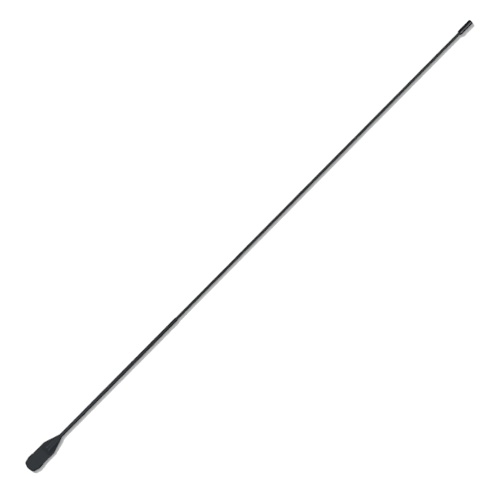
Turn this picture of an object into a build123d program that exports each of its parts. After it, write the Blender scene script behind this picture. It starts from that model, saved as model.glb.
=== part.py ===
from build123d import *
import math
import os

# Telescopic rowing oar, in millimetres, lying flat with its blade towards -X.
# Frame: +X along the shaft from blade to grip, +Y across the blade, +Z up. The origin is
# on the floor, under the middle of the oar. Distances along the oar count from the blade's tip.

# ---- Driving dimensions ----

total_length = 4140.0
axis_height = 16.0  # shaft axis above the floor, the radius of the grip that it lies on

# Blade: a flat moulding with a very slight spoon, carried by a socket for the lower tube
blade_length = 301.0
blade_half_width = 48.6
blade_thickness = 7.0
blade_edge_radius = 2.4
shoulder_at = 195.0
shoulder_radius = 12.0
neck_radius = 13.2
plate_end_half_width = 11.0  # the flat plate ends inside the round neck
spoon_from = 240.0
spoon_radius = 7200.0

# Socket boss: flat-topped with wide shallow flanks, and a runner rib along each side of each flat
boss_start = 150.0
boss_flat = 15.2
boss_flat_half_width = 11.5
boss_waist = 45.0
boss_round = 47.5
boss_nose_radius = 3.0
boss_nose_arc = 45.0
boss_ramp_end = 196.0
rib_height = axis_height
rib_width = 2.6
socket_start = 192.0
spigot_radius = 11.8  # the tube's end is turned down to enter the socket, up to its shoulder at the neck

# Tip guard: a U-section boot around the blade's end
guard_half_width = 51.4
guard_end_radius = 66.0
guard_corner = (15.0, 41.9)
guard_waist = (35.0, 46.2)
guard_flare = (47.0, guard_half_width)
guard_corner_radius = 8.0
guard_waist_radius = 16.0
guard_flare_radius = 12.0
guard_step_from = 81.0
guard_step_to = 91.0
guard_rear_half_width = 49.6
guard_side = guard_half_width - blade_half_width
guard_lip = 9.0
guard_thickness = 10.0
guard_edge_radius = 2.6
guard_rivet_radius = 1.6
guard_rivet_head = 2.9
guard_rivet_head_height = 1.1
guard_rivet_side = (72.0, 46.2)
guard_rivet_shoulder = (37.0, 41.8)
guard_rivet_ring = 60.6  # the two front rivets lie on this radius about the end arc's centre
guard_rivet_angle = 21.0

# Shaft tubes
lower_radius = 12.0
lower_bore = 10.5
lower_start = 193.0
mouth_at = 1386.0
upper_radius = 9.0
upper_bore = 7.5
overlap = 200.0
upper_start = mouth_at - overlap
upper_end = total_length - 7.0

# Rivets through the blade socket, and the stopper that seals the lower tube
blade_rivet_distances = (215.0, 262.0)
blade_rivet_radius = 2.0
blade_rivet_head = 3.4
blade_rivet_head_depth = 1.3
blade_rivet_bulb = 2.9
blade_rivet_bulb_span = (7.0, 10.0)
stopper_start = 272.0
stopper_length = 25.0
stopper_chamfer = 1.0

# Bush and wiper seal in the lower tube's mouth
bush_flange = 6.0
bush_flange_radius = 11.8
bush_length = 43.0
bush_nose_radius = 2.4
running_gap = 0.05
seal_groove_from = 4.4  # back from the mouth
seal_groove_width = 2.2
seal_groove_radius = 10.3
seal_gap = 0.03
bush_rivet_back = 26.0
bush_rivet_radius = 1.3
bush_rivet_head = 2.4
bush_rivet_head_depth = 1.0
bush_rivet_depth = 9.6

# Stop ring on the upper tube, which meets the bush at full length
stop_ring_gap = 0.3
stop_ring_length = 12.0
stop_ring_radius = 10.2
pin_radius = 1.25
stop_pin_half_length = 10.0

# Glide ring, snapped into a groove near the upper tube's lower end
groove_from = 4.0
groove_length = 24.4
groove_depth = 0.5
glide_end_gap = 0.2
glide_radius = 10.42
glide_split = 2.0

# Eccentric lock: a stub on the upper tube's plug turns inside a ring with an offset bore
cam_offset = 1.0
cam_half_turn = 44.0  # degrees from released to locked, each way
stub_radius = 4.0
stub_length = 32.0
cam_flange = 4.0
cam_body_length = 50.0
cam_ring_radius = 9.7
cam_ring_gap = 0.3
cam_ring_chamfer = 0.8
cam_pin_at = 42.0  # from the upper tube's lower end
cam_pin_half_length = 8.8
washer_radius = 7.0
washer_thickness = 1.2
screw_radius = 1.5
screw_head_radius = 3.0
screw_head_height = 2.4
screw_length = 14.0
screw_socket_radius = 1.5

# Grip and the plug in the upper tube's end
grip_radius = 16.0
grip_start = 4028.0
grip_wall = 4.0
grip_front_radius = 4.5
grip_butt_radius = 10.0
end_plug_flange = 3.0
end_plug_length = 28.0

# ---- Planes and helpers ----

tip_x = -total_length / 2
shaft_axis = Axis((0, 0, axis_height), (1, 0, 0))
# Seen from the side: local x is the distance from the tip, local y the height above the axis
side_plane = Plane(origin=(tip_x, 0, axis_height), x_dir=(1, 0, 0), z_dir=(0, -1, 0))
# Seen from above: local x is the distance from the tip, local y is across the blade
plan_plane = Plane(origin=(tip_x, 0, axis_height), x_dir=(1, 0, 0), z_dir=(0, 0, 1))
reach = 80.0  # more than any half width, for cuts that go right through
margin = 20.0  # how far the blade's side view runs on past the tip
window = 1.0  # edges this near to a distance count as being there
level_slope = 0.2  # edges that climb less than this share of their length count as level


def section(distance):
    """The plane square to the shaft at a distance from the tip: local x across, local y up."""
    return Plane(origin=(tip_x + distance, 0, axis_height), x_dir=(0, 1, 0), z_dir=(1, 0, 0))


def spoon_height(distance):
    """Height of the blade's middle surface above the shaft axis."""
    if distance >= spoon_from:
        return 0.0
    return spoon_radius - math.sqrt(spoon_radius**2 - (spoon_from - distance) ** 2)


def draw_tip_outline(rear_points):
    """Draws the tip's closed outline in the current BuildLine, and its rear through the given points."""
    side = [guard_corner, guard_waist, guard_flare, *rear_points]
    other_side = [(x, -y) for x, y in reversed(side)]
    ThreePointArc(other_side[-1], (0, 0), side[0])
    Polyline(*side, *other_side)


def draw_spoon_strip(thickness, end):
    """Draws the closed side view of a plate of the given thickness that follows the spoon."""
    half = thickness / 2
    sweep = math.degrees(math.asin((spoon_from + margin) / spoon_radius))
    under = CenterArc((spoon_from, spoon_radius), spoon_radius + half, 270 - sweep, sweep)
    over = CenterArc((spoon_from, spoon_radius), spoon_radius - half, 270 - sweep, sweep)
    Line(under @ 0, over @ 0)
    Polyline(under @ 1, (end, -half), (end, half), over @ 1)


def upright_edges_at(builder, distance):
    """The builder's vertical edges at a distance from the tip."""
    place = tip_x + distance
    return builder.edges().filter_by(Axis.Z).filter_by_position(Axis.X, place - window, place + window)


def level_edges_before(builder, distance):
    """The builder's edges round its flat faces, up to a distance from the tip."""
    level = builder.edges().filter_by(lambda edge: abs((edge % 0.5).Z) < level_slope)
    return level.filter_by(lambda edge: (edge @ 0.5).X < tip_x + distance)


def save(piece, name):
    """Labels a finished piece and writes its STEP file."""
    piece.part.label = name
    export_step(piece.part, f"parts/{name}.step")


os.makedirs("parts", exist_ok=True)

# ---- Rivets of the blade ----

front_rivet = (
    guard_end_radius - guard_rivet_ring * math.cos(math.radians(guard_rivet_angle)),
    guard_rivet_ring * math.sin(math.radians(guard_rivet_angle)),
)
guard_rivet_spots = [
    (distance, side * across)
    for distance, across in (front_rivet, guard_rivet_shoulder, guard_rivet_side)
    for side in (-1, 1)
]

dome_radius = (guard_rivet_head**2 + guard_rivet_head_height**2) / (2 * guard_rivet_head_height)
dome_middle = math.asin(guard_rivet_head / dome_radius) / 2
lip_face = guard_thickness / 2
head_top = lip_face + guard_rivet_head_height
half_way_across = dome_radius * math.sin(dome_middle)
half_way_up = head_top - dome_radius * (1 - math.cos(dome_middle))

with BuildPart() as tip_guard_rivets:
    for distance, across in guard_rivet_spots:
        middle = Plane(
            origin=(tip_x + distance, across, axis_height + spoon_height(distance)),
            x_dir=(1, 0, 0),
            z_dir=(0, -1, 0),
        )
        with BuildSketch(middle):
            with BuildLine():
                Line((0, -head_top), (0, head_top))
                for side in (-1, 1):
                    rim = (guard_rivet_head, side * lip_face)
                    ThreePointArc((0, side * head_top), (half_way_across, side * half_way_up), rim)
                    Line(rim, (guard_rivet_radius, side * lip_face))
                Line((guard_rivet_radius, -lip_face), (guard_rivet_radius, lip_face))
            make_face()
        revolve(axis=Axis(middle.origin, (0, 0, 1)))
save(tip_guard_rivets, "tip_guard_rivets")

with BuildPart() as blade_rivets:
    for distance in blade_rivet_distances:
        spot = side_plane.origin + Vector(distance, 0, 0)
        low, high = blade_rivet_bulb_span
        with BuildSketch(Plane(origin=spot, x_dir=(1, 0, 0), z_dir=(0, -1, 0))):
            Polygon(
                (0, low),
                (blade_rivet_bulb, low),
                (blade_rivet_bulb, high),
                (blade_rivet_radius, high),
                (blade_rivet_radius, boss_flat - blade_rivet_head_depth),
                (blade_rivet_head, boss_flat),
                (0, boss_flat),
                align=None,
            )
        revolve(axis=Axis(spot, (0, 0, 1)))
save(blade_rivets, "blade_rivets")

# ---- Blade ----

with BuildPart() as socket_boss:
    with BuildSketch(section(boss_start)):
        Polygon(
            (boss_flat_half_width, boss_flat),
            (boss_waist, 0),
            (boss_flat_half_width, -boss_flat),
            (-boss_flat_half_width, -boss_flat),
            (-boss_waist, 0),
            (-boss_flat_half_width, boss_flat),
            align=None,
        )
        for side in (-1, 1):
            with Locations((side * (boss_flat_half_width - rib_width / 2), 0)):
                Rectangle(rib_width, 2 * rib_height)
    extrude(amount=blade_length - boss_start)
    with BuildSketch(side_plane):
        with BuildLine():
            Line((boss_start, 0), (boss_start, boss_nose_radius))
            RadiusArc((boss_start, boss_nose_radius), (shoulder_at, boss_round), boss_nose_arc)
            Polyline(
                (shoulder_at, boss_round),
                (blade_length, neck_radius),
                (blade_length, 0),
                (boss_start, 0),
            )
        make_face()
    revolve(axis=shaft_axis, mode=Mode.INTERSECT)
    with BuildSketch(side_plane):
        Polygon(
            (boss_start, boss_nose_radius),
            (boss_ramp_end, rib_height),
            (blade_length, rib_height),
            (blade_length, -rib_height),
            (boss_ramp_end, -rib_height),
            (boss_start, -boss_nose_radius),
            align=None,
        )
    extrude(amount=reach, both=True, mode=Mode.INTERSECT)

with BuildPart() as blade:
    with BuildSketch(plan_plane):
        with BuildLine():
            draw_tip_outline([(shoulder_at, guard_half_width)])
        make_face()
        offset(amount=-guard_side, kind=Kind.INTERSECTION)
        Polygon(
            (guard_step_from, blade_half_width),
            (shoulder_at, blade_half_width),
            (blade_length, plate_end_half_width),
            (blade_length, -plate_end_half_width),
            (shoulder_at, -blade_half_width),
            (guard_step_from, -blade_half_width),
            align=None,
        )
    extrude(amount=reach, both=True)
    fillet(upright_edges_at(blade, shoulder_at), shoulder_radius)
    with BuildSketch(side_plane):
        with BuildLine():
            draw_spoon_strip(blade_thickness, blade_length)
        make_face()
    extrude(amount=reach, both=True, mode=Mode.INTERSECT)
    fillet(level_edges_before(blade, blade_length - window), blade_edge_radius)
    add(socket_boss.part)
    with BuildSketch(section(socket_start)):
        Circle(spigot_radius)
    extrude(amount=blade_length - socket_start, mode=Mode.SUBTRACT)
    add(blade_rivets.part, mode=Mode.SUBTRACT)
    add(tip_guard_rivets.part, mode=Mode.SUBTRACT)
save(blade, "blade")

# ---- Tip guard ----

with BuildPart() as tip_guard:
    with BuildSketch(plan_plane):
        with BuildLine():
            draw_tip_outline([(guard_step_from, guard_half_width), (guard_step_to, guard_rear_half_width)])
        make_face()
    extrude(amount=reach, both=True)
    fillet(upright_edges_at(tip_guard, guard_corner[0]), guard_corner_radius)
    fillet(upright_edges_at(tip_guard, guard_waist[0]), guard_waist_radius)
    fillet(upright_edges_at(tip_guard, guard_flare[0]), guard_flare_radius)
    with BuildSketch(side_plane):
        with BuildLine():
            draw_spoon_strip(guard_thickness, blade_length)
        make_face()
    extrude(amount=reach, both=True, mode=Mode.INTERSECT)
    fillet(level_edges_before(tip_guard, guard_step_to - window), guard_edge_radius)
    with BuildSketch(plan_plane):
        with BuildLine():
            draw_tip_outline([(shoulder_at, guard_half_width)])
        make_face()
        offset(amount=-guard_lip, kind=Kind.INTERSECTION)
    extrude(amount=reach, both=True, mode=Mode.SUBTRACT)
    add(blade.part, mode=Mode.SUBTRACT)
    add(tip_guard_rivets.part, mode=Mode.SUBTRACT)
save(tip_guard, "tip_guard")

# ---- Lower tube and its stopper ----

tube_end = mouth_at - bush_flange
bush_rivet_at = mouth_at - bush_rivet_back

with BuildPart() as bush_rivets:
    for side in (-1, 1):
        spot = Vector(tip_x + bush_rivet_at, 0, axis_height)
        with BuildSketch(Plane(origin=spot, x_dir=(1, 0, 0), z_dir=(0, 0, 1))):
            outline = [
                (0, bush_rivet_depth),
                (bush_rivet_radius, bush_rivet_depth),
                (bush_rivet_radius, lower_radius - bush_rivet_head_depth),
                (bush_rivet_head, lower_radius),
                (0, lower_radius),
            ]
            Polygon(*[(x, side * y) for x, y in outline], align=None)
        revolve(axis=Axis(spot, (0, 1, 0)))
    with BuildSketch(section(bush_rivet_at - bush_rivet_back / 2)):
        Circle(lower_radius)
    extrude(amount=bush_rivet_back, mode=Mode.INTERSECT)
save(bush_rivets, "bush_rivets")

with BuildPart() as lower_tube:
    with BuildSketch(section(lower_start)):
        Circle(spigot_radius)
    extrude(amount=blade_length - lower_start)
    with BuildSketch(section(blade_length)):
        Circle(lower_radius)
    extrude(amount=tube_end - blade_length)
    with BuildSketch(section(lower_start)):
        Circle(lower_bore)
    extrude(amount=tube_end - lower_start, mode=Mode.SUBTRACT)
    add(blade_rivets.part, mode=Mode.SUBTRACT)
    add(bush_rivets.part, mode=Mode.SUBTRACT)
save(lower_tube, "lower_tube")

with BuildPart() as lower_tube_stopper:
    with BuildSketch(section(stopper_start)):
        Circle(lower_bore)
    extrude(amount=stopper_length)
    chamfer(lower_tube_stopper.faces().sort_by(Axis.X)[-1].edges(), stopper_chamfer)
save(lower_tube_stopper, "lower_tube_stopper")

# ---- Mouth bush and wiper seal ----

bush_bore = upper_radius + running_gap
groove_rear = mouth_at - seal_groove_from
groove_front = groove_rear + seal_groove_width

with BuildPart() as mouth_bush:
    with BuildSketch(side_plane):
        Polygon(
            (mouth_at - bush_length, bush_bore),
            (groove_rear, bush_bore),
            (groove_rear, seal_groove_radius),
            (groove_front, seal_groove_radius),
            (groove_front, bush_bore),
            (mouth_at, bush_bore),
            (mouth_at, bush_flange_radius),
            (tube_end, bush_flange_radius),
            (tube_end, lower_bore),
            (mouth_at - bush_length, lower_bore),
            align=None,
        )
    revolve(axis=shaft_axis)
    mouth_rim = mouth_bush.faces().sort_by(Axis.X)[-1].edges().sort_by(SortBy.LENGTH)[-1]
    fillet(mouth_rim, bush_nose_radius)
    add(bush_rivets.part, mode=Mode.SUBTRACT)
save(mouth_bush, "mouth_bush")

with BuildPart() as mouth_seal:
    with BuildSketch(section(groove_rear)):
        Circle(seal_groove_radius)
        Circle(upper_radius + seal_gap, mode=Mode.SUBTRACT)
    extrude(amount=seal_groove_width)
save(mouth_seal, "mouth_seal")

# ---- Upper tube with its pins and rings ----

groove_at = upper_start + groove_from
stop_ring_at = mouth_at - bush_length - stop_ring_gap - stop_ring_length
stop_pin_at = stop_ring_at + stop_ring_length / 2
cam_pin_distance = upper_start + cam_pin_at
pin_rows = ((cam_pin_distance, cam_pin_half_length), (stop_pin_at, stop_pin_half_length))

pins = []
for distance, half_length in pin_rows:
    with BuildPart() as cross_pin:
        with BuildSketch(Plane(origin=(tip_x + distance, 0, axis_height), z_dir=(0, 1, 0))):
            Circle(pin_radius)
        extrude(amount=half_length, both=True)
    pins.append(cross_pin)
cam_plug_pin, stop_ring_pin = pins
save(cam_plug_pin, "cam_plug_pin")
save(stop_ring_pin, "stop_ring_pin")

with BuildPart() as upper_tube:
    with BuildSketch(section(upper_start)):
        Circle(upper_radius)
        Circle(upper_bore, mode=Mode.SUBTRACT)
    extrude(amount=upper_end - upper_start)
    with BuildSketch(section(groove_at)):
        Circle(upper_radius)
        Circle(upper_radius - groove_depth, mode=Mode.SUBTRACT)
    extrude(amount=groove_length, mode=Mode.SUBTRACT)
    for cross_pin in pins:
        add(cross_pin.part, mode=Mode.SUBTRACT)
save(upper_tube, "upper_tube")

with BuildPart() as stop_ring:
    with BuildSketch(section(stop_ring_at)):
        Circle(stop_ring_radius)
        Circle(upper_radius, mode=Mode.SUBTRACT)
    extrude(amount=stop_ring_length)
    add(stop_ring_pin.part, mode=Mode.SUBTRACT)
save(stop_ring, "stop_ring")

with BuildPart() as glide_ring:
    with BuildSketch(section(groove_at + glide_end_gap)):
        Circle(glide_radius)
        Circle(upper_radius - groove_depth + running_gap, mode=Mode.SUBTRACT)
        with Locations((0, glide_radius)):
            Rectangle(glide_split, 2 * (glide_radius - upper_bore), mode=Mode.SUBTRACT)
    extrude(amount=groove_length - 2 * glide_end_gap)
save(glide_ring, "glide_ring")

# ---- Eccentric lock ----

lock_angle = math.radians(-cam_half_turn)
stub_centre = (cam_offset * math.cos(lock_angle), cam_offset * math.sin(lock_angle))
ring_centre = (stub_centre[0] - cam_offset, stub_centre[1])
flange_at = upper_start - cam_flange
stub_at = flange_at - stub_length
washer_at = stub_at - washer_thickness
screw_head_at = washer_at - screw_head_height

with BuildPart() as cam_plug:
    with BuildSketch(section(flange_at)):
        Circle(upper_radius)
    extrude(amount=cam_flange)
    with BuildSketch(section(upper_start)):
        Circle(upper_bore)
    extrude(amount=cam_body_length)
    with BuildSketch(section(stub_at)):
        with Locations(stub_centre):
            Circle(stub_radius)
    extrude(amount=stub_length)
    with BuildSketch(section(stub_at)):
        with Locations(stub_centre):
            Circle(screw_radius)
    extrude(amount=screw_length, mode=Mode.SUBTRACT)
    add(cam_plug_pin.part, mode=Mode.SUBTRACT)
save(cam_plug, "cam_plug")

with BuildPart() as cam_ring:
    with BuildSketch(section(stub_at + cam_ring_gap)):
        with Locations(ring_centre):
            Circle(cam_ring_radius)
    extrude(amount=stub_length - 2 * cam_ring_gap)
    chamfer(cam_ring.edges().filter_by(GeomType.CIRCLE), cam_ring_chamfer)
    with BuildSketch(section(stub_at)):
        with Locations(stub_centre):
            Circle(stub_radius + running_gap)
    extrude(amount=stub_length, mode=Mode.SUBTRACT)
save(cam_ring, "cam_ring")

with BuildPart() as cam_washer:
    with BuildSketch(section(washer_at)):
        with Locations(stub_centre):
            Circle(washer_radius)
            Circle(screw_radius, mode=Mode.SUBTRACT)
    extrude(amount=washer_thickness)
save(cam_washer, "cam_washer")

with BuildPart() as cam_screw:
    with BuildSketch(section(screw_head_at)):
        with Locations(stub_centre):
            Circle(screw_head_radius)
    extrude(amount=screw_head_height)
    with BuildSketch(section(washer_at)):
        with Locations(stub_centre):
            Circle(screw_radius)
    extrude(amount=washer_thickness + screw_length)
    with BuildSketch(section(screw_head_at)):
        with Locations(stub_centre):
            RegularPolygon(screw_socket_radius, 6)
    extrude(amount=screw_head_height / 2, mode=Mode.SUBTRACT)
save(cam_screw, "cam_screw")

# ---- Grip and end plug ----

with BuildPart() as grip:
    with BuildSketch(side_plane):
        Polygon(
            (grip_start, upper_radius),
            (total_length - grip_wall, upper_radius),
            (total_length - grip_wall, 0),
            (total_length, 0),
            (total_length, grip_radius),
            (grip_start, grip_radius),
            align=None,
        )
    revolve(axis=shaft_axis)
    rims = grip.edges().filter_by(GeomType.CIRCLE).group_by(SortBy.RADIUS)[-1].sort_by(Axis.X)
    fillet(rims[0], grip_front_radius)
    butt_rim = grip.edges().filter_by(GeomType.CIRCLE).group_by(SortBy.RADIUS)[-1].sort_by(Axis.X)[-1]
    fillet(butt_rim, grip_butt_radius)
save(grip, "grip")

with BuildPart() as upper_tube_plug:
    with BuildSketch(section(upper_end - end_plug_length)):
        Circle(upper_bore)
    extrude(amount=end_plug_length)
    with BuildSketch(section(upper_end)):
        Circle(upper_radius)
    extrude(amount=end_plug_flange)
save(upper_tube_plug, "upper_tube_plug")
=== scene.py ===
import math

import bpy
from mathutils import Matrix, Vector


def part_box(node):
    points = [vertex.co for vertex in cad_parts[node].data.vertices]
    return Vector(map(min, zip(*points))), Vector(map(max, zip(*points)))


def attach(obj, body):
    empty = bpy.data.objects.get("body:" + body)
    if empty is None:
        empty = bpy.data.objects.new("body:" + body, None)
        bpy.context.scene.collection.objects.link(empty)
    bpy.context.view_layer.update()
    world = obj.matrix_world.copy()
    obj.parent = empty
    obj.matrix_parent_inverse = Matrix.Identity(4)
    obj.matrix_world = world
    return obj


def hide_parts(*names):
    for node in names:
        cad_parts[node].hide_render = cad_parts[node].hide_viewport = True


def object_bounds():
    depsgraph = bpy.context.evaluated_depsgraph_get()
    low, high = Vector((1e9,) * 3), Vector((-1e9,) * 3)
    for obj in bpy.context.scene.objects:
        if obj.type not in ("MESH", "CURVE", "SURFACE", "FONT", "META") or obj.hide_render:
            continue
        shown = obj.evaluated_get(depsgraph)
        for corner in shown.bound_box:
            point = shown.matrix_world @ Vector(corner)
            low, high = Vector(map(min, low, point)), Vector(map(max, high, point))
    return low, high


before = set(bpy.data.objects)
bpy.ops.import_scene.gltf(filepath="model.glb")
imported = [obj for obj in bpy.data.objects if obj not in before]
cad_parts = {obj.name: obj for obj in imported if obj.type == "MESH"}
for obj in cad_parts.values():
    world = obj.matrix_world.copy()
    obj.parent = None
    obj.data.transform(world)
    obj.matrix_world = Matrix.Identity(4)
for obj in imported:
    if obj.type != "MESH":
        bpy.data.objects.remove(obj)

# Telescopic rowing oar, in metres, in the CAD frame: +X from blade to grip, +Y across the blade, +Z up.
# Distances along the oar count from the blade's tip, as s, and are turned into places by at().

cad_low, cad_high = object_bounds()
MM = 0.001
tip_x = cad_low.x
oar_length = cad_high.x - cad_low.x
grip_low, grip_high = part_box("grip")
axis_z = (grip_low[2] + grip_high[2]) / 2


def at(s, across=0.0, up=0.0):
    """A point from its distance to the tip, its place across the oar and its height above the axis."""
    return Vector((tip_x + s, across, axis_z + up))


def span(node):
    """Where a CAD node starts and ends along the oar, as distances from the tip."""
    low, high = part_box(node)
    return low[0] - tip_x, high[0] - tip_x


def radius_of(node):
    """Outer radius of a round CAD node."""
    low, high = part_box(node)
    return (high[1] - low[1]) / 2


# ---------------------------------------------------------------- mesh helpers


def smooth_max(a, b, blend):
    """The larger of two heights, with a fillet of about this size where they meet."""
    h = max(blend - abs(a - b), 0.0) / blend
    return max(a, b) + h * h * blend / 4


def smooth_min(a, b, blend):
    """The smaller of two heights, with a fillet of about this size where they meet."""
    return -smooth_max(-a, -b, blend)


def share(value, start, end):
    """How far a value has come from start to end, held between 0 and 1."""
    return min(max((value - start) / (end - start), 0.0), 1.0)


def arc(centre, radius, start, end, steps):
    """Points along an arc in the plane, angles in degrees, both ends included."""
    angles = [math.radians(start + (end - start) * i / steps) for i in range(steps + 1)]
    return [(centre[0] + radius * math.cos(a), centre[1] + radius * math.sin(a)) for a in angles]


def make_piece(name, points, faces, body, nodes, material, sharp_angle=35.0):
    """A finished mesh piece: linked, smooth-shaded, riding on its body and standing for its CAD nodes."""
    mesh = bpy.data.meshes.new(name)
    mesh.from_pydata([tuple(p) for p in points], [], faces)
    mesh.validate()
    piece = bpy.data.objects.new(name, mesh)
    bpy.context.scene.collection.objects.link(piece)
    mesh.materials.append(material)
    mesh.shade_smooth()
    mesh.set_sharp_from_angle(angle=math.radians(sharp_angle))
    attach(piece, body)
    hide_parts(*nodes)
    return piece


def skin(rings, loop=False):
    """Quads between rings of equal size. The last ring joins the first, or else both ends are capped."""
    size = len(rings[0])
    points = [p for ring in rings for p in ring]
    faces = []
    pairs = len(rings) if loop else len(rings) - 1
    for i in range(pairs):
        first = i * size
        second = (i + 1) % len(rings) * size
        for j in range(size):
            k = (j + 1) % size
            faces.append((first + j, first + k, second + k, second + j))
    if not loop:
        last = (len(rings) - 1) * size
        faces.append(tuple(reversed(range(size))))
        faces.append(tuple(range(last, last + size)))
    return points, faces


def lathe(profile, closed, segments=96):
    """Turns a profile of (s, radius) about the shaft axis. A closed profile makes a ring or tube."""
    rings = []
    for s, r in profile:
        ring = []
        for j in range(segments):
            a = 2 * math.pi * j / segments
            ring.append(at(s, r * math.cos(a), r * math.sin(a)))
        rings.append(ring)
    return skin(rings, loop=closed)


def set_attribute(piece, name, values):
    """Stores one number per point, for the material to read."""
    layer = piece.data.attributes.new(name, "FLOAT", "POINT")
    layer.data.foreach_set("value", values)


# ---------------------------------------------------------------- material helpers


class Nodes:
    """Short ways to add and join the nodes of one material."""

    def __init__(self, name):
        self.material = bpy.data.materials.new(name)
        self.material.use_nodes = True
        self.tree = self.material.node_tree
        self.bsdf = self.tree.nodes["Principled BSDF"]
        self.where = self.tree.nodes.new("ShaderNodeTexCoord").outputs["Object"]

    def add(self, kind, inputs=None, **settings):
        """A node with its settings, and its inputs linked or set."""
        node = self.tree.nodes.new(kind)
        for key, value in settings.items():
            setattr(node, key, value)
        for key, value in (inputs or {}).items():
            if isinstance(value, bpy.types.NodeSocket):
                self.tree.links.new(value, node.inputs[key])
            else:
                node.inputs[key].default_value = value
        return node

    def stretched(self, x, y, z):
        """Object coordinates scaled along each axis."""
        return self.add("ShaderNodeMapping", {"Vector": self.where, "Scale": (x, y, z)}).outputs["Vector"]

    def noise(self, size, detail=3.0, roughness=0.55, vector=None):
        """Noise whose lumps are about this many metres across, from 0 to 1."""
        inputs = {
            "Vector": vector or self.where,
            "Scale": 1 / size,
            "Detail": detail,
            "Roughness": roughness,
        }
        return self.add("ShaderNodeTexNoise", inputs).outputs["Fac"]

    def cells(self, size):
        """Distance inside small rounded cells of about this size."""
        inputs = {"Vector": self.where, "Scale": 1 / size}
        return self.add("ShaderNodeTexVoronoi", inputs, feature="SMOOTH_F1").outputs["Distance"]

    def remap(self, value, low, high, to_low=0.0, to_high=1.0):
        """The value carried from one range to another, and held inside it."""
        inputs = {"Value": value, "From Min": low, "From Max": high, "To Min": to_low, "To Max": to_high}
        return self.add("ShaderNodeMapRange", inputs).outputs["Result"]

    def math(self, operation, a, b):
        return self.add("ShaderNodeMath", {0: a, 1: b}, operation=operation).outputs["Value"]

    def mix(self, factor, a, b):
        """A colour between two colours."""
        node = self.add("ShaderNodeMix", data_type="RGBA")
        for key, value in (("Factor", factor), ("A", a), ("B", b)):
            socket = next(i for i in node.inputs if i.name == key and i.enabled)
            if isinstance(value, bpy.types.NodeSocket):
                self.tree.links.new(value, socket)
            else:
                socket.default_value = value if key == "Factor" else (*value, 1.0)
        return next(o for o in node.outputs if o.enabled)

    def attribute(self, name):
        """A number stored on the mesh."""
        return self.add("ShaderNodeAttribute", attribute_name=name).outputs["Fac"]

    def bump(self, height, depth, strength=1.0, below=None):
        """A bump whose full height is this many metres."""
        inputs = {"Height": height, "Distance": depth, "Strength": strength}
        if below:
            inputs["Normal"] = below
        return self.add("ShaderNodeBump", inputs).outputs["Normal"]

    def finish(self, colour=None, rough=None, normal=None, **fixed):
        """Links what varies to the shader, sets what is the same all over, and returns the material."""
        for socket, value in (("Base Color", colour), ("Roughness", rough), ("Normal", normal)):
            if value is not None:
                self.tree.links.new(value, self.bsdf.inputs[socket])
        for key, value in fixed.items():
            self.bsdf.inputs[key.replace("_", " ")].default_value = value
        return self.material


def shade(colour, factor):
    """A colour made darker or lighter by this factor."""
    return tuple(c * factor for c in colour)


# ---------------------------------------------------------------- materials

blade_colour = (0.0096, 0.0110, 0.0134)
guard_colour = (0.0060, 0.0086, 0.0108)
tube_colour = (0.0146, 0.0150, 0.0172)
grip_colour = (0.0016, 0.0020, 0.0044)
bush_colour = (0.0200, 0.0215, 0.0235)
nylon_colour = (0.62, 0.60, 0.54)
steel_colour = (0.42, 0.43, 0.44)
seal_colour = (0.012, 0.012, 0.013)
paper_colour = (0.755, 0.755, 0.755)
cool_tint = (0.87, 0.97, 1.0, 1.0)


def blade_plastic():
    """Glass-filled nylon: moulded grain, faint flow mottling, a painted highlight on the ribs, pale scuffs
    along the edges.
    """
    n = Nodes("blade_plastic")
    flow = n.noise(0.045, 2.0, vector=n.stretched(0.35, 1.0, 1.0))
    body = n.mix(flow, shade(blade_colour, 0.90), shade(blade_colour, 1.12))
    scratch = n.noise(0.0011, 4.0, 0.7, n.stretched(0.12, 1.0, 1.0))
    patchy = n.noise(0.009, 3.0)
    scuffed = n.math("MULTIPLY", n.remap(scratch, 0.50, 0.72), n.remap(patchy, 0.40, 0.70))
    worn = n.math("MULTIPLY", scuffed, n.attribute("wear"))
    # Painted highlight: the ribs' crests and the ramp ahead of them are painted paler, as if lit
    highlight_mask = n.math("MULTIPLY", n.attribute("crest"), n.remap(patchy, 0.25, 0.65, 0.45, 1.0))
    highlighted = n.mix(highlight_mask, body, shade(blade_colour, 4.2))
    colour = n.mix(worn, highlighted, shade(blade_colour, 3.6))
    grain = n.cells(0.0007)
    soft = n.noise(0.006, 3.0)
    rough = n.remap(n.math("ADD", soft, n.math("MULTIPLY", scratch, 0.35)), 0.35, 1.0, 0.44, 0.58)
    under = n.bump(soft, 0.00006)
    normal = n.bump(grain, 0.00004, 0.8, under)
    return n.finish(colour, rough, normal, Specular_IOR_Level=0.23, Specular_Tint=cool_tint)


def guard_rubber():
    """Hard rubber with a matt skin, rubbed paler round its outer rim."""
    n = Nodes("guard_rubber")
    cloudy = n.noise(0.018, 3.0)
    body = n.mix(cloudy, shade(guard_colour, 0.88), shade(guard_colour, 1.14))
    rub = n.noise(0.0016, 4.0, 0.65, n.stretched(0.5, 0.5, 1.4))
    worn = n.math("MULTIPLY", n.remap(rub, 0.46, 0.70), n.attribute("wear"))
    colour = n.mix(worn, body, shade(guard_colour, 3.0))
    grain = n.noise(0.0006, 4.0, 0.6)
    rough = n.remap(grain, 0.3, 0.7, 0.54, 0.68)
    normal = n.bump(grain, 0.00005, 0.7, n.bump(cloudy, 0.00010))
    return n.finish(colour, rough, normal, Specular_IOR_Level=0.20, Specular_Tint=cool_tint)


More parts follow.
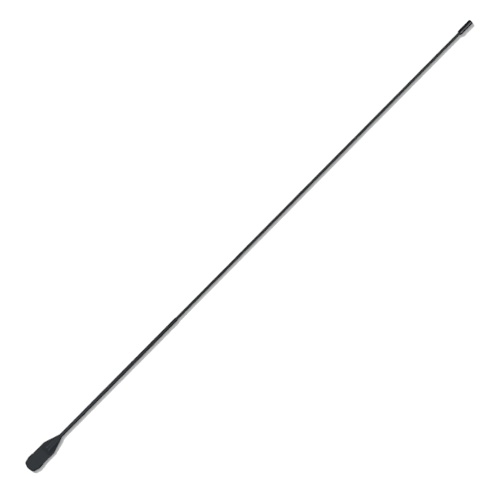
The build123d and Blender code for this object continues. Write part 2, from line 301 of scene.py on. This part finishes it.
def anodised_tube():
    """Black anodised drawn tube: fine lines along its length, a faint drift of tone, light rub marks."""
    n = Nodes("anodised_tube")
    drift = n.noise(0.16, 2.0, vector=n.stretched(0.6, 1.0, 1.0))
    body = n.mix(drift, shade(tube_colour, 0.93), shade(tube_colour, 1.08))
    drawn = n.noise(0.00055, 3.0, 0.6, n.stretched(0.010, 1.0, 1.0))
    rub = n.noise(0.0022, 4.0, 0.7, n.stretched(0.030, 1.0, 1.0))
    marks = n.math("MULTIPLY", n.remap(rub, 0.60, 0.80), n.remap(n.noise(0.11, 3.0), 0.52, 0.72))
    lined = n.mix(n.remap(drawn, 0.3, 0.7), body, shade(tube_colour, 1.16))
    colour = n.mix(n.math("MULTIPLY", marks, 0.32), lined, shade(tube_colour, 3.4))
    rough = n.remap(n.math("ADD", drawn, marks), 0.3, 1.2, 0.46, 0.56)
    normal = n.bump(drawn, 0.000012, 0.6)
    return n.finish(colour, rough, normal, Metallic=0.30, Specular_IOR_Level=0.40, Specular_Tint=cool_tint)


def grip_rubber():
    """Smooth moulded rubber, slightly glossy from handling, with a very fine pebble."""
    n = Nodes("grip_rubber")
    handled = n.noise(0.020, 3.0)
    body = n.mix(handled, shade(grip_colour, 0.90), shade(grip_colour, 1.15))
    dust = n.remap(n.noise(0.0013, 4.0, 0.65), 0.60, 0.78)
    dusty = n.math("MULTIPLY", dust, n.remap(n.attribute("wear"), 0.0, 1.0, 0.05, 0.5))
    colour = n.mix(dusty, body, shade(grip_colour, 3.5))
    pebble = n.cells(0.0009)
    rough = n.remap(handled, 0.3, 0.7, 0.16, 0.22)
    normal = n.bump(pebble, 0.000035, 0.6, n.bump(handled, 0.00012))
    return n.finish(colour, rough, normal, Specular_IOR_Level=0.61)


def turned_plastic():
    """Acetal turned in a lathe: rings round the axis, close and shallow."""
    n = Nodes("turned_plastic")
    rings = n.noise(0.0004, 2.0, vector=n.stretched(1.0, 0.02, 0.02))
    cloudy = n.noise(0.012, 2.0)
    colour = n.mix(cloudy, shade(bush_colour, 0.9), shade(bush_colour, 1.15))
    rough = n.remap(rings, 0.3, 0.7, 0.38, 0.50)
    return n.finish(colour, rough, n.bump(rings, 0.000012, 0.7), Specular_IOR_Level=0.45)


def black_rivet():
    """Anodised rivet, set by a tool: faint dimples with patchy rubbing."""
    n = Nodes("black_rivet")
    dimple = n.noise(0.0012, 3.0)
    colour = n.mix(n.remap(dimple, 0.35, 0.75), shade(tube_colour, 0.85), shade(tube_colour, 1.45))
    rough = n.remap(dimple, 0.3, 0.7, 0.36, 0.50)
    return n.finish(colour, rough, n.bump(dimple, 0.00003, 0.8), Metallic=0.7)


def seal_rubber():
    """Matt black rubber, faintly cloudy."""
    n = Nodes("seal_rubber")
    cloudy = n.noise(0.004, 4.0)
    colour = n.mix(cloudy, seal_colour, shade(seal_colour, 2.0))
    return n.finish(colour, n.remap(cloudy, 0.3, 0.7, 0.60, 0.75), n.bump(n.noise(0.0005), 0.00003))


def natural_nylon():
    """Undyed nylon, milky and slightly translucent."""
    n = Nodes("natural_nylon")
    milky = n.noise(0.006, 3.0)
    colour = n.mix(milky, shade(nylon_colour, 0.92), shade(nylon_colour, 1.04))
    rough = n.remap(milky, 0.3, 0.7, 0.36, 0.48)
    return n.finish(colour, rough, n.bump(n.noise(0.0008), 0.00002), Subsurface_Weight=0.1)


def stainless_steel():
    """Brushed steel, its fine lines lying across the oar's axis."""
    n = Nodes("stainless_steel")
    lines = n.noise(0.0004, 3.0, 0.6, n.stretched(1.0, 0.06, 0.06))
    colour = n.mix(lines, shade(steel_colour, 0.9), shade(steel_colour, 1.1))
    return n.finish(colour, n.remap(lines, 0.3, 0.7, 0.26, 0.40), n.bump(lines, 0.00001), Metallic=1.0)


def studio_paper():
    """Matt white paper with a very faint mottle."""
    n = Nodes("studio_paper")
    colour = n.mix(n.noise(0.4), paper_colour, shade(paper_colour, 0.765 / 0.755))
    return n.finish(colour, Roughness=1.0, Specular_IOR_Level=0.0)


plastic = blade_plastic()
rubber_guard = guard_rubber()
anodised = anodised_tube()
rubber_grip = grip_rubber()
acetal = turned_plastic()
rivet = black_rivet()
rubber_seal = seal_rubber()
nylon = natural_nylon()
steel = stainless_steel()

# ---------------------------------------------------------------- blade

guard_end = span("tip_guard")[1]
blade_start, neck_s = span("blade")
guard_half_width = radius_of("tip_guard")
blade_half_width = radius_of("blade")
tube_radius = radius_of("lower_tube")

spoon_from = 240 * MM
spoon_radius = 7.2
end_arc_radius = 66 * MM
corner_s = 16 * MM
corner_half_width = 38.5 * MM
corner_slope = 0.24
corner_blend = 4.0 * MM
shoulder_s = 195 * MM
shoulder_blend = 1.0 * MM
neck_radius = 13.2 * MM
neck_chamfer = 0.5 * MM
neck_chamfer_length = 0.8 * MM
spigot_radius = 11.8 * MM
socket_shown = 14 * MM  # the tube hides the rest of the socket
plate_half = 3.5 * MM
plate_crown = 0.5 * MM  # how much thinner the plate is at its edges
edge_round = 3.0 * MM

boss_flat = 15.05 * MM
boss_top_half = 11.5 * MM
boss_foot_half = 45.0 * MM
boss_nose = 150 * MM
boss_lead = 12 * MM  # ahead of its nose the boss is carried on under the plate's skin for this far
boss_nose_radius = 3 * MM
boss_nose_arc = 45 * MM
boss_blunt_s = boss_nose + 3 * MM  # ahead of this the boss's envelope keeps its radius
boss_ramp_end = 196 * MM
cone_radius = 47.5 * MM
boss_fillet = 3.5 * MM
flank_blend = 3.0 * MM
ramp_blend = 2.0 * MM
cone_blend = 1.2 * MM
nose_blend = 3.2 * MM
nose_ease = 14 * MM  # the envelope turns from a cone into the nose's drafted edge over this length

rib_crest = axis_z - 0.05 * MM
rib_middle = 10.2 * MM
rib_half = 1.3 * MM
rib_spread = 1.25  # how far its rounded flanks reach, in half widths

# Where the painted highlight on the ribs' crests and the ramp ahead of them begins, fades and spreads
highlight_from = boss_ramp_end - 20 * MM
highlight_full = boss_ramp_end - 12 * MM
highlight_narrows_from = boss_ramp_end - 6 * MM
highlight_fades_from = 230 * MM
highlight_fades_to = 264 * MM
highlight_least = 0.45
crest_highlight_half = 2.0 * MM
ramp_highlight_half = 6.0 * MM
edge_wear_width = 7 * MM
face_wear = 0.08
mouth_wear = 0.3

nose_stretch = 20 * MM
nose_steps = 24
ribs_half = 14 * MM
ribs_share = 0.80  # of the blade's half width, where it is narrow
rim_from_ribs = 2.0 * MM
rim_from_edge = 1.5 * MM
rib_steps = 36
flank_steps = 24
edge_steps = 22
# From, to and the step between cross-sections, in millimetres from the tip: closest where the boss rises
stretches = (
    (24, 50, 2.0),
    (50, 138, 4.0),
    (138, 206, 1.0),
    (206, 232, 1.5),
    (232, (neck_s - neck_chamfer_length) / MM, 1.2),
)


def spoon(s):
    """Height of the blade's middle surface above the axis."""
    if s >= spoon_from:
        return 0.0
    return spoon_radius - math.sqrt(spoon_radius**2 - (spoon_from - s) ** 2)


def blade_width(s):
    """Half width of the blade at a distance from the tip."""
    arc_radius = end_arc_radius - (guard_half_width - blade_half_width)
    into = min(s, end_arc_radius)
    front = math.sqrt(max(arc_radius**2 - (end_arc_radius - into) ** 2, 0.0))
    corner = corner_half_width + (s - corner_s) * corner_slope
    straight = min(smooth_min(front, corner, corner_blend), blade_half_width)
    slope = (blade_half_width - neck_radius) / (neck_s - shoulder_s)
    taper = neck_radius + (neck_s - s) * slope
    return smooth_min(straight, taper, shoulder_blend)


def boss_radius(s):
    """Radius of the round envelope of the boss: an arc over its nose, then a cone to the neck."""
    if s > shoulder_s:
        return cone_radius + (neck_radius - cone_radius) * (s - shoulder_s) / (neck_s - shoulder_s)
    start = Vector((boss_nose, boss_nose_radius))
    end = Vector((shoulder_s, cone_radius))
    half = (end - start) / 2
    below = Vector((half.y, -half.x)).normalized()
    centre = (start + end) / 2 + below * math.sqrt(boss_nose_arc**2 - half.length_squared)
    return centre.y + math.sqrt(boss_nose_arc**2 - (max(s, boss_blunt_s) - centre.x) ** 2)


def boss_height(s, y):
    """Half height of the socket boss; under the plate's, or negative, where there is none."""
    if s <= boss_nose - boss_lead:
        return -1.0
    radius = boss_radius(s)
    inside = radius - abs(y)
    flank = boss_flat * (boss_foot_half - abs(y)) / (boss_foot_half - boss_top_half)
    top = smooth_min(boss_flat, flank, flank_blend)
    off_crest = abs(abs(y) - rib_middle) / rib_half
    if off_crest < rib_spread:
        swell = 1 - (off_crest / rib_spread) ** 2
        top = max(top, boss_flat + (rib_crest - boss_flat) * math.sqrt(swell))
    climb = (s - boss_nose) / (boss_ramp_end - boss_nose)
    ramp = boss_nose_radius + (rib_crest - boss_nose_radius) * climb
    dome = math.sqrt(radius**2 - y**2) if inside > 0 else inside
    ahead = share(s, shoulder_s, shoulder_s - nose_ease)
    rim = dome + (plate_half + inside - dome) * ahead
    rim_blend = cone_blend + (nose_blend - cone_blend) * ahead
    return smooth_min(smooth_min(top, ramp, ramp_blend), rim, rim_blend)


def crest_highlight(s, y):
    """How strongly the painted highlight lies on the ribs' crests and the ramp ahead of them, from 0 to 1.
    """
    ahead = share(s, boss_ramp_end, highlight_narrows_from)
    spread = crest_highlight_half + (ramp_highlight_half - crest_highlight_half) * ahead
    beside = max(1 - (abs(abs(y) - rib_middle) / spread) ** 2, 0.0)
    fade = max(share(s, highlight_fades_to, highlight_fades_from), highlight_least)
    return beside * share(s, highlight_from, highlight_full) * fade


def plate_height(y, width):
    """Half thickness of the plate: crowned, with full-round edges."""
    inside = max(width - abs(y), 0.0)
    crown = plate_half - plate_crown * min((abs(y) / blade_half_width) ** 2, 1.0)
    if inside >= edge_round:
        return crown
    return crown * math.sqrt(max(1 - (1 - inside / edge_round) ** 2, 0.0))


def across_places(s, width):
    """Places across the blade, edge to edge: closest over the ribs, at the boss's rim and at the edge."""
    ribs_end = min(ribs_half, ribs_share * width)
    rim = min(max(boss_radius(s), ribs_end + rim_from_ribs), width - rim_from_edge)
    flank = [math.sin(math.pi / 2 * i / flank_steps) for i in range(flank_steps)]
    edge = [(1 - math.cos(math.pi * i / edge_steps)) / 2 for i in range(edge_steps + 1)]
    half = [ribs_end * i / rib_steps for i in range(1, rib_steps)]
    half += [ribs_end + (rim - ribs_end) * part for part in flank]
    half += [rim + (width - rim) * part for part in edge]
    return [-y for y in reversed(half)] + [0.0] + half


def blade_stations():
    """Distances from the tip where the blade's cross-sections are."""
    opening = [1 - math.cos(math.pi / 2 * i / nose_steps) for i in range(nose_steps + 1)]
    stations = [blade_start + nose_stretch * part for part in opening]
    for start, end, step in stretches:
        count = round((end - start) / step)
        stations += [(start + (end - start) * i / count) * MM for i in range(count + 1)]
    return sorted(set(round(s, 7) for s in stations))


def build_blade():
    """The blade with its boss, as rings round the whole section, then the socket's mouth."""
    rings, wear, highlight_values = [], [], []
    for s in blade_stations():
        width = blade_width(s)
        middle = spoon(s)
        upper, lower, worn, highlit = [], [], [], []
        for y in across_places(s, width):
            plate = plate_height(y, width)
            boss = boss_height(s, y)
            upper.append(at(s, y, smooth_max(middle + plate, boss, boss_fillet)))
            lower.append(at(s, y, -smooth_max(plate - middle, boss, boss_fillet)))
            from_edge = max(width - abs(y), 0.0)
            worn.append(max(1 - from_edge / edge_wear_width, face_wear))
            # Painted highlight over the boss's ribs and ramp, stored per point
            highlit.append(crest_highlight(s, y) if boss > plate else 0.0)
        rings.append(upper + list(reversed(lower[1:-1])))
        wear += worn + list(reversed(worn[1:-1]))
        highlight_values += highlit + list(reversed(highlit[1:-1]))
    angles = [math.atan2(p.z - axis_z, p.y) for p in rings[-1]]
    mouth = (
        (neck_s, neck_radius - neck_chamfer),
        (neck_s, spigot_radius),
        (neck_s - socket_shown, spigot_radius),
    )
    for s, r in mouth:
        rings.append([at(s, r * math.cos(a), r * math.sin(a)) for a in angles])
        wear += [mouth_wear] * len(angles)
        highlight_values += [0.0] * len(angles)
    points, faces = skin(rings)
    piece = make_piece("blade_moulding", points, faces, "lower_shaft", ["blade"], plastic)
    set_attribute(piece, "wear", wear)
    set_attribute(piece, "crest", highlight_values)


build_blade()

# ---------------------------------------------------------------- tip guard

guard_half = 5.0 * MM
guard_rim = 4.0 * MM
guard_rim_steps = 8
guard_slot_half = 3.1 * MM
guard_wall = 3.6 * MM
guard_lip = 9.0 * MM
guard_lip_round = 0.9 * MM
guard_corner = (15.0 * MM, 41.9 * MM)
guard_waist = (35.0 * MM, 46.2 * MM)
guard_flare_s = 47.0 * MM
guard_step_s = 81.0 * MM
guard_rear_s = guard_step_s - 1 * MM  # from here back, the lips' inner edges run straight
guard_rear_half_width = 49.6 * MM
guard_bends = (8.0 * MM, 16.0 * MM, 12.0 * MM, 10.0 * MM)  # at the corner, waist, flare and step
guard_front_steps = 28
guard_corner_steps = 6  # this many steps of the front arc give way to the corner's bend
guard_section_step = 2.0 * MM
guard_end_squeeze = (0.86, 0.97)  # the first two sections at each end, as shares of the full height
guard_wear_width = 4.5 * MM
guard_side_wear = 0.6
guard_face_wear = 0.05


def rounded_path(points, radii, steps=14):
    """A polyline with its inner corners rounded by arcs."""
    path = [Vector(points[0])]
    for before, corner, after, radius in zip(points, points[1:], points[2:], radii):
        corner = Vector(corner)
        into = (Vector(before) - corner).normalized()
        out = (Vector(after) - corner).normalized()
        half = into.angle(out) / 2
        setback = radius / math.tan(half)
        start = corner + into * setback
        end = corner + out * setback
        centre = corner + (into + out).normalized() * (radius / math.sin(half))
        for i in range(steps + 1):
            path.append(centre + (start.lerp(end, i / steps) - centre).normalized() * radius)
    path.append(Vector(points[-1]))
    return path


def guard_outline():
    """The guard's outer edge in plan, from the rear on the -Y side, round the tip, to the rear on +Y."""
    swing = math.degrees(math.asin(guard_corner[1] / end_arc_radius))
    front = arc((end_arc_radius, 0.0), end_arc_radius, 180, 180 - swing, guard_front_steps)
    side = [
        front[-guard_corner_steps],
        guard_corner,
        guard_waist,
        (guard_flare_s, guard_half_width),
        (guard_step_s, guard_half_width),
        (guard_end, guard_rear_half_width),
    ]
    half = [Vector(p) for p in front[:-guard_corner_steps]] + rounded_path(side, guard_bends)
    dense = []
    for a, b in zip(half, half[1:]):
        count = max(1, math.ceil((b - a).length / guard_section_step))
        dense += [a.lerp(b, i / count) for i in range(count)]
    dense.append(half[-1])
    mirrored = [Vector((p.x, -p.y)) for p in reversed(dense[1:])]
    return mirrored + dense


def guard_section(lip, squeeze):
    """The U section as (inward, up) points, closed: over the top, round the rim, back through the slot."""
    half = guard_half * squeeze
    slot = guard_slot_half * squeeze
    upper = [(lip, slot), (lip, half - guard_lip_round)]
    upper += arc((lip - guard_lip_round, half - guard_lip_round), guard_lip_round, 15, 90, 5)
    turns = [math.pi / 2 * i / guard_rim_steps for i in range(guard_rim_steps + 1)]
    upper += [(guard_rim * (1 - math.sin(a)), half * math.cos(a)) for a in turns]
    lower = [(d, -z) for d, z in reversed(upper[:-1])]
    return upper + lower + [(guard_wall, -slot), (guard_wall, slot)]


def build_guard():
    """The boot round the blade's end: its section carried along the outline, following the spoon."""
    path = guard_outline()
    inner_y = guard_half_width - guard_lip
    rings, wear = [], []
    for i, p in enumerate(path):
        ahead = path[min(i + 1, len(path) - 1)]
        behind = path[max(i - 1, 0)]
        along = (ahead - behind).normalized()
        inward = Vector((along.y, -along.x))
        lip = guard_lip
        if p.x > guard_rear_s:
            inward = Vector((0.0, -1.0 if p.y > 0 else 1.0))
            lip = abs(p.y) - inner_y
        from_end = min(i, len(path) - 1 - i)
        squeeze = guard_end_squeeze[from_end] if from_end < len(guard_end_squeeze) else 1.0
        most_worn = 1.0 if p.x < guard_flare_s else guard_side_wear
        ring = []
        for d, z in guard_section(lip, squeeze):
            spot = p + inward * d
            ring.append(at(spot.x, spot.y, spoon(spot.x) + z))
            wear.append(max(0.0, 1 - d / guard_wear_width) * most_worn + guard_face_wear)
        rings.append(ring)
    points, faces = skin(rings)
    piece = make_piece("tip_guard_boot", points, faces, "lower_shaft", ["tip_guard"],
                       rubber_guard, sharp_angle=50)
    set_attribute(piece, "wear", wear)


build_guard()

# ---------------------------------------------------------------- tubes, bush and grip

upper_radius = radius_of("upper_tube")
wall = 1.5 * MM
chamfer = 0.35 * MM
tube_step = 50 * MM
tube_first_step = 5 * MM
skin_drop = 0.03 * MM  # the lower tube's skin sits this far under its flush rivets
shoulder_chamfer = 0.15 * MM
shading_edge = 0.1 * MM  # an extra ring this far before the shoulder keeps its shading crisp
groove_depth = 0.5 * MM
groove_play = 0.2 * MM


def tube_profile(start, end, outer, bore, stations=()):
    """Closed profile of a tube with broken edges. A station is a place and how far the skin rises there."""
    middle = [(s, outer + rise) for s, rise in stations]
    return [
        (start, bore), (start, outer - chamfer), (start + chamfer, outer), *middle,
        (end - chamfer, outer), (end, outer - chamfer), (end, bore),
    ]


def even_stations(start, end, step):
    """Plain stations along a tube, so that no face is very long."""
    count = max(2, round((end - start) / step))
    return [(start + (end - start) * i / count, 0.0) for i in range(1, count)]


def build_lower_tube():
    """The thicker tube. Its end is turned down to enter the blade, and meets it with a small shoulder."""
    start, end = span("lower_tube")
    spigot_rise = spigot_radius - (tube_radius - skin_drop)
    shoulder = [
        (neck_s - shading_edge, spigot_rise),
        (neck_s, spigot_rise),
        (neck_s, -shoulder_chamfer),
        (neck_s + shoulder_chamfer, 0.0),
    ]
    stations = shoulder + even_stations(neck_s + tube_first_step, end, tube_step)
    profile = tube_profile(start, end, tube_radius - skin_drop, tube_radius - wall, stations)
    profile[1:3] = [(start, spigot_radius - chamfer), (start + chamfer, spigot_radius)]
    points, faces = lathe(profile, True)
    make_piece("lower_tube_drawn", points, faces, "lower_shaft", ["lower_tube"], anodised)


def build_upper_tube():
    """The thinner tube, with the groove of its glide ring near the lower end."""
    start, end = span("upper_tube")
    ring_start, ring_end = span("glide_ring")
    groove = [
        (ring_start - groove_play, 0.0),
        (ring_start - groove_play, -groove_depth),
        (ring_end + groove_play, -groove_depth),
        (ring_end + groove_play, 0.0),
    ]
    stations = groove + even_stations(ring_end + tube_first_step, end, tube_step)
    points, faces = lathe(tube_profile(start, end, upper_radius, upper_radius - wall, stations), True)
    make_piece("upper_tube_drawn", points, faces, "upper_shaft", ["upper_tube"], anodised)


def build_bush():
    """The mouth bush: a flange with a rounded nose, a sleeve inside the tube and the seal's groove."""
    start, end = span("mouth_bush")
    flange = 6.0 * MM
    nose = 2.4 * MM
    bore = upper_radius + 0.05 * MM
    seal_radius = 10.3 * MM
    seal_rear = end - 4.4 * MM
    seal_front = end - 2.2 * MM
    lead_in = 0.5 * MM
    edge_break = 0.2 * MM
    sleeve_radius = tube_radius - wall
    profile = [(start, bore), (seal_rear, bore), (seal_rear, seal_radius), (seal_front, seal_radius)]
    profile += [(seal_front, bore), (end - lead_in, bore), (end, bore + lead_in)]
    profile += arc((end - nose, spigot_radius - nose), nose, 0, 90, 10)
    profile += [(end - flange + edge_break, spigot_radius), (end - flange, spigot_radius - edge_break)]
    profile += [(end - flange, sleeve_radius), (start, sleeve_radius)]
    points, faces = lathe(list(reversed(profile)), True)
    make_piece("mouth_bush_turned", points, faces, "lower_shaft", ["mouth_bush"], acetal)


def build_grip():
    """The short fat grip: rounded at the front, more so at the butt, and closed there."""
    start, end = span("grip")
    outer = radius_of("grip")
    front_round = 4.5 * MM
    butt_round = 10.0 * MM
    butt_wall = 4.0 * MM
    butt_flat = 3.0 * MM
    lip = 1.2 * MM
    edge_break = 0.6 * MM
    front_wear = 10 * MM
    butt_wear = 9 * MM
    least_radius = 0.05 * MM  # the two end rings stay this wide, and skin() closes them
    inner_end = end - butt_wall
    profile = [(inner_end, least_radius), (inner_end, upper_radius), (start + edge_break, upper_radius)]
    profile += [(start, upper_radius + edge_break), (start, upper_radius + lip)]
    profile += arc((start + front_round, outer - front_round), front_round, 180, 90, 14)
    body = even_stations(start + front_round, end - butt_round, 4 * MM)
    profile += [(s, outer) for s, _ in body]
    profile += arc((end - butt_round, outer - butt_round), butt_round, 90, 0, 14)
    profile += [(end, butt_flat), (end, least_radius)]
    points, faces = lathe(profile, False, 128)
    piece = make_piece("grip_moulding", points, faces, "upper_shaft", ["grip"], rubber_grip)
    wear = []
    for p in points:
        s = p.x - tip_x
        radius = math.hypot(p.y, p.z - axis_z)
        ends = max(1 - (s - start) / front_wear, 1 - (end - s) / butt_wear, 0.0)
        wear.append(min(1.0, ends) if radius > upper_radius + lip else 0.0)
    set_attribute(piece, "wear", wear)


build_lower_tube()
build_upper_tube()
build_bush()
build_grip()

# ---------------------------------------------------------------- CAD nodes that stay, with their materials

finishes = {
    "tip_guard_rivets": rivet,
    "blade_rivets": rivet,
    "bush_rivets": rivet,
    "lower_tube_stopper": rubber_seal,
    "mouth_seal": rubber_seal,
    "upper_tube_plug": rubber_seal,
    "glide_ring": nylon,
    "cam_ring": nylon,
    "cam_plug": nylon,
    "stop_ring": nylon,
    "cam_plug_pin": steel,
    "stop_ring_pin": steel,
    "cam_washer": steel,
    "cam_screw": steel,
}
for node, material in finishes.items():
    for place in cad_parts[node].material_slots:
        place.material = material

# ---------------------------------------------------------------- floor

floor_half = 150.0
floor_gap = 0.3 * MM
corners = [(x * floor_half, y * floor_half) for x, y in ((-1, -1), (1, -1), (1, 1), (-1, 1))]
floor_mesh = bpy.data.meshes.new("studio_floor")
floor_mesh.from_pydata([(x, y, cad_low.z - floor_gap) for x, y in corners], [], [(0, 1, 2, 3)])
floor_mesh.materials.append(studio_paper())
floor = bpy.data.objects.new("studio_floor", floor_mesh)
bpy.context.scene.collection.objects.link(floor)
# The oar neither mirrors the floor nor takes bounce light from it, so its flanks stay dark over white paper
floor.visible_glossy = False
floor.visible_diffuse = False

# ---------------------------------------------------------------- light

room_colour = (0.975, 0.99, 1.0, 1.0)
room_strength = 0.038
ceiling_strength = 0.53
ceiling_from = 0.68  # upward part of the direction at which the ceiling begins to glow
seen_strength = 1.04


def build_world():
    """A dim room with a soft glow overhead. Where the camera sees it, it is as pale as the floor."""
    world = bpy.data.worlds.new("studio")
    bpy.context.scene.world = world
    world.use_nodes = True
    nodes = world.node_tree.nodes
    link = world.node_tree.links.new
    split = nodes.new("ShaderNodeSeparateXYZ")
    link(nodes.new("ShaderNodeTexCoord").outputs["Generated"], split.inputs["Vector"])
    overhead = nodes.new("ShaderNodeMapRange")
    overhead.interpolation_type = "SMOOTHSTEP"
    overhead.inputs["From Min"].default_value = ceiling_from
    overhead.inputs["To Min"].default_value = room_strength
    overhead.inputs["To Max"].default_value = ceiling_strength
    link(split.outputs["Z"], overhead.inputs["Value"])
    seen = nodes.new("ShaderNodeMath")
    seen.operation = "MULTIPLY"
    seen.inputs[1].default_value = seen_strength
    link(nodes.new("ShaderNodeLightPath").outputs["Is Camera Ray"], seen.inputs[0])
    strength = nodes.new("ShaderNodeMath")
    strength.operation = "MAXIMUM"
    link(overhead.outputs["Result"], strength.inputs[0])
    link(seen.outputs["Value"], strength.inputs[1])
    background = nodes["Background"]
    link(strength.outputs["Value"], background.inputs["Strength"])
    background.inputs["Color"].default_value = room_colour


def add_lamp(name, kind, side, elevation, distance=0.0, aim=(0.0, 0.0, 0.0), **settings):
    """Hangs a lamp on one side of its aim (+1 is +Y), this many degrees up from the floor."""
    lamp = bpy.data.lights.new(name, kind)
    for key, value in settings.items():
        setattr(lamp, key, value)
    angle = math.radians(elevation)
    toward = Vector((0.0, side * math.cos(angle), math.sin(angle)))
    holder = bpy.data.objects.new(name, lamp)
    bpy.context.scene.collection.objects.link(holder)
    holder.location = Vector(aim) + toward * distance
    holder.rotation_mode = "QUATERNION"
    holder.rotation_quaternion = toward.to_track_quat("Z", "Y")
    return holder


build_world()

# The two suns light the paper and the oar's matt side, and set the shadow's depth
sun_key = add_lamp("key", "SUN", side=1, elevation=45.5, energy=3.9, angle=math.radians(9))
sun_fill = add_lamp("fill", "SUN", side=0, elevation=90, energy=1.29, angle=math.radians(60))
for sun in (sun_key, sun_fill):
    sun.visible_glossy = False

# The two boxes show only as reflections: one along the shaft, one over the blade's end
strip_box = add_lamp("strip", "AREA", side=-1, elevation=52, distance=4.0, aim=(1.8, 0.0, 0.0),
                     shape="RECTANGLE", size=3.6, size_y=0.8, energy=113.0)
end_box = add_lamp("end_box", "AREA", side=0, elevation=90, distance=1.2, aim=at(100 * MM),
                   shape="RECTANGLE", size=1.6, size_y=3.0, energy=16.9)
for box in (strip_box, end_box):
    box.visible_diffuse = False
end_box.visible_camera = False

# ---------------------------------------------------------------- camera

# The camera looks straight down with a long lens. The oar runs from lower left to upper right.
lean = math.radians(45.28)
view_width = 3.2875  # metres of floor across the picture
aim_down = 34 * MM
aim_right = 1.6 * MM
right = Vector((math.cos(lean), -math.sin(lean), 0.0))
up = Vector((math.sin(lean), math.cos(lean), 0.0))
aim = at(oar_length / 2) - up * aim_down + right * aim_right
camera_data = bpy.data.cameras.new("camera")
camera_data.lens = 200.0
camera_data.sensor_width = 36.0
camera_data.clip_start = 0.1
camera_data.clip_end = 400.0
camera = bpy.data.objects.new("camera", camera_data)
bpy.context.scene.collection.objects.link(camera)
camera.location = aim + Vector((0.0, 0.0, view_width * camera_data.lens / camera_data.sensor_width))
camera.rotation_euler = (0.0, 0.0, -lean)
bpy.context.scene.camera = camera
bpy.context.scene.view_settings.view_transform = "Standard"
